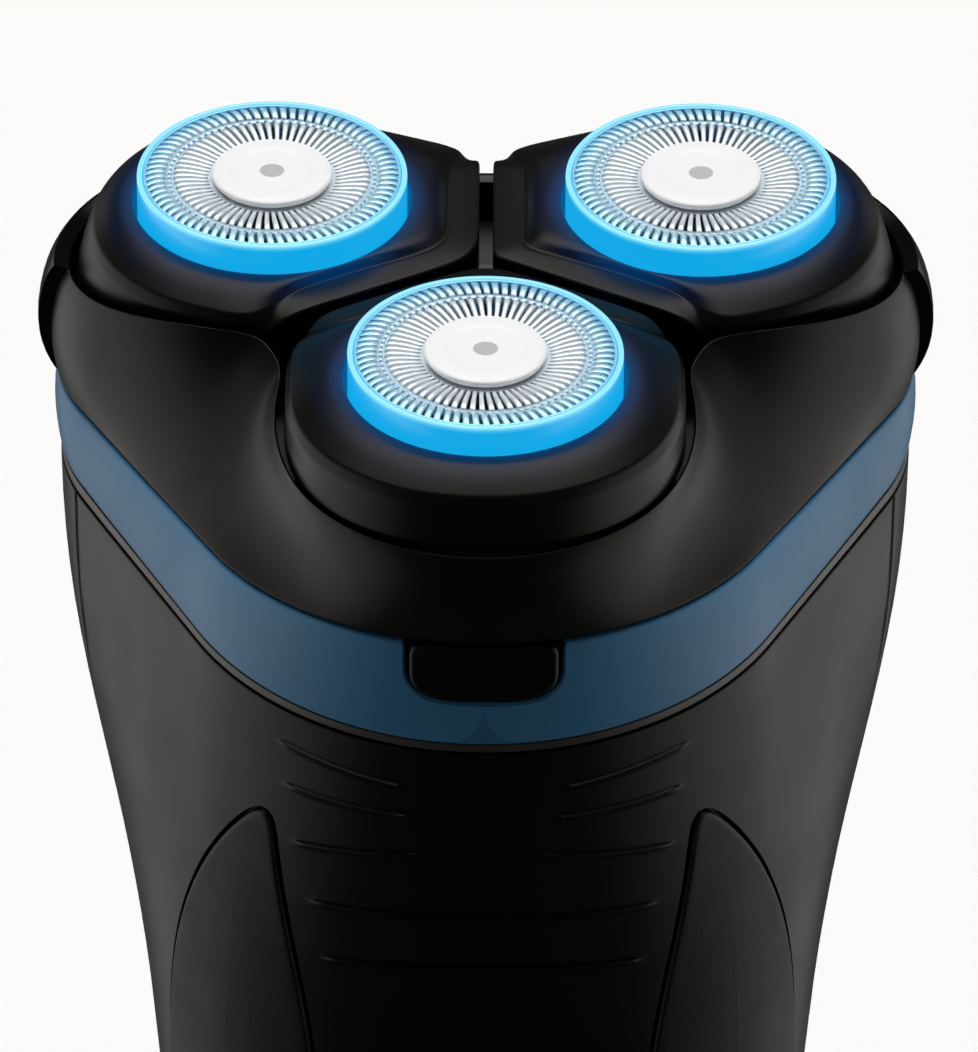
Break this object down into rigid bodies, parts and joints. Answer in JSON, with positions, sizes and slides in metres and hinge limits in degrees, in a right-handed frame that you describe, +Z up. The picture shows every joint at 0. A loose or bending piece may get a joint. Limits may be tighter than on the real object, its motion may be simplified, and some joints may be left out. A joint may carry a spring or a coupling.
{
  "type": "electric shaver",
  "caption": "Cordless rotary shaver with a hinged triangular head, floating round guards over spinning cutters, a blue collar and a tapered black handle with soft grips.",
  "frame": {"origin": "centre of the flat base", "axes": "+Z up along the handle, the front with the power button faces -Y, +X is the right side seen from the back"},
  "size_m": [0.0664, 0.0639, 0.1573],
  "materials": {
    "satin_black": "satin, fine moulded grain",
    "gloss_black": "polished",
    "soft_grip": "soft-touch, fine texture",
    "collar_blue": "satin steel blue",
    "ring_blue": "bright sky blue, glossy",
    "cap_white": "satin white",
    "guard_steel": "fine brushed",
    "cutter_steel": "ground",
    "spring_steel": "drawn wire",
    "brass": "satin",
    "trim_dark": "dark olive, matt",
    "inner_grey": "moulded",
    "gear_white": "acetal",
    "circuit_green": "solder mask",
    "cell_wrap": "shrink wrap",
    "lens_clear": "clear light pipe"
  },
  "bodies": {
    "handle": {"collar": "collar_blue", "hair_chamber": "inner_grey", "release_spring": "spring_steel", "hinge_pin": "cutter_steel", "gear_plate": "inner_grey", "motor": "cutter_steel", "gear_plate_screw_1": "spring_steel", "gear_plate_screw_2": "spring_steel", "gear_plate_screw_3": "spring_steel", "neck_trim": "trim_dark", "front_shell": "satin_black", "rear_shell": "satin_black", "grip_left": "soft_grip", "grip_right": "soft_grip", "power_switch": "inner_grey", "indicator_lens": "lens_clear", "circuit_board": "circuit_green", "chassis": "inner_grey", "battery": "cell_wrap", "battery_tab_bottom": "brass", "battery_tab_top": "brass", "bottom_cap": "satin_black", "socket_shroud": "inner_grey", "socket_pin_left": "brass", "socket_pin_right": "brass"},
    "rotor": {"central_gear": "brass"},
    "power_button": {"power_button": "gloss_black"},
    "release_button": {"release_button": "satin_black"},
    "head": {"skirt": "satin_black", "skirt_back": "gloss_black", "head_frame": "inner_grey", "latch_tongue": "inner_grey"},
    "drive_front": {"drive_gear_front": "gear_white", "spindle_front": "cutter_steel", "spindle_spring_front": "spring_steel"},
    "pod_front": {"pod_front": "satin_black", "pod_retainer_front": "inner_grey"},
    "guard_front": {"guard_front": "guard_steel", "guard_ring_front": "ring_blue", "guard_cap_front": "cap_white"},
    "cutter_front": {"cutter_front": "cutter_steel"},
    "drive_right": {"drive_gear_right": "gear_white", "spindle_right": "cutter_steel", "spindle_spring_right": "spring_steel"},
    "pod_right": {"pod_right": "satin_black", "pod_retainer_right": "inner_grey"},
    "guard_right": {"guard_right": "guard_steel", "guard_ring_right": "ring_blue", "guard_cap_right": "cap_white"},
    "cutter_right": {"cutter_right": "cutter_steel"},
    "drive_left": {"drive_gear_left": "gear_white", "spindle_left": "cutter_steel", "spindle_spring_left": "spring_steel"},
    "pod_left": {"pod_left": "satin_black", "pod_retainer_left": "inner_grey"},
    "guard_left": {"guard_left": "guard_steel", "guard_ring_left": "ring_blue", "guard_cap_left": "cap_white"},
    "cutter_left": {"cutter_left": "cutter_steel"}
  },
  "joints": [
    {"name": "head_open", "type": "hinge", "parent": "handle", "child": "head", "pos_m": [0, 0.01451, 0.14153], "axis": [-1, 0, 0], "range_deg": [0, 95]},
    {"name": "motor_spin", "type": "hinge", "parent": "handle", "child": "rotor", "pos_m": [0, -0.00731, 0.13175], "axis": [0, -0.2588, 0.9659], "continuous": true},
    {"name": "power_press", "type": "slide", "parent": "handle", "child": "power_button", "axis": [0, 1, 0], "range_m": [0, 0.0007], "stiffness_N_per_m": 400, "springref_m": -0.001},
    {"name": "release_press", "type": "slide", "parent": "handle", "child": "release_button", "axis": [0, 0.9659, 0.2588], "range_m": [0, 0.0009], "stiffness_N_per_m": 400, "springref_m": -0.001},
    {"name": "drive_spin_front", "type": "hinge", "parent": "handle", "child": "drive_front", "pos_m": [0, -0.02384, 0.12732], "axis": [0, -0.2588, 0.9659], "continuous": true},
    {"name": "pod_tilt_front", "type": "hinge", "parent": "head", "child": "pod_front", "pos_m": [0, -0.02669, 0.13794], "axis": [1, 0, 0], "range_deg": [-2.5, 2.5], "stiffness_Nm_per_rad": 0.2},
    {"name": "guard_float_front", "type": "slide", "parent": "pod_front", "child": "guard_front", "axis": [0, 0.2588, -0.9659], "range_m": [0, 0.0007], "stiffness_N_per_m": 300, "springref_m": -0.002},
    {"name": "cutter_spin_front", "type": "hinge", "parent": "guard_front", "child": "cutter_front", "pos_m": [0, -0.02876, 0.14567], "axis": [0, -0.2588, 0.9659], "continuous": true},
    {"name": "drive_spin_right", "type": "hinge", "parent": "handle", "child": "drive_right", "pos_m": [0.01585, -0.00105, 0.13343], "axis": [0, -0.2588, 0.9659], "continuous": true},
    {"name": "pod_tilt_right", "type": "hinge", "parent": "head", "child": "pod_right", "pos_m": [0.01585, -0.00389, 0.14405], "axis": [-0.3785, 0.8941, 0.2396], "range_deg": [-2.5, 2.5], "stiffness_Nm_per_rad": 0.2},
    {"name": "guard_float_right", "type": "slide", "parent": "pod_right", "child": "guard_right", "axis": [0, 0.2588, -0.9659], "range_m": [0, 0.0007], "stiffness_N_per_m": 300, "springref_m": -0.002},
    {"name": "cutter_spin_right", "type": "hinge", "parent": "guard_right", "child": "cutter_right", "pos_m": [0.01585, -0.00596, 0.15178], "axis": [0, -0.2588, 0.9659], "continuous": true},
    {"name": "drive_spin_left", "type": "hinge", "parent": "handle", "child": "drive_left", "pos_m": [-0.01585, -0.00105, 0.13343], "axis": [0, -0.2588, 0.9659], "continuous": true},
    {"name": "pod_tilt_left", "type": "hinge", "parent": "head", "child": "pod_left", "pos_m": [-0.01585, -0.00389, 0.14405], "axis": [-0.3785, -0.8941, -0.2396], "range_deg": [-2.5, 2.5], "stiffness_Nm_per_rad": 0.2},
    {"name": "guard_float_left", "type": "slide", "parent": "pod_left", "child": "guard_left", "axis": [0, 0.2588, -0.9659], "range_m": [0, 0.0007], "stiffness_N_per_m": 300, "springref_m": -0.002},
    {"name": "cutter_spin_left", "type": "hinge", "parent": "guard_left", "child": "cutter_left", "pos_m": [-0.01585, -0.00596, 0.15178], "axis": [0, -0.2588, 0.9659], "continuous": true}
  ],
  "couplings": [
    {"joint": "drive_spin_front", "follows": "motor_spin", "ratio": -0.85714},
    {"joint": "cutter_spin_front", "follows": "motor_spin", "ratio": -0.85714},
    {"joint": "drive_spin_right", "follows": "motor_spin", "ratio": -0.85714},
    {"joint": "cutter_spin_right", "follows": "motor_spin", "ratio": -0.85714},
    {"joint": "drive_spin_left", "follows": "motor_spin", "ratio": -0.85714},
    {"joint": "cutter_spin_left", "follows": "motor_spin", "ratio": -0.85714}
  ]
}
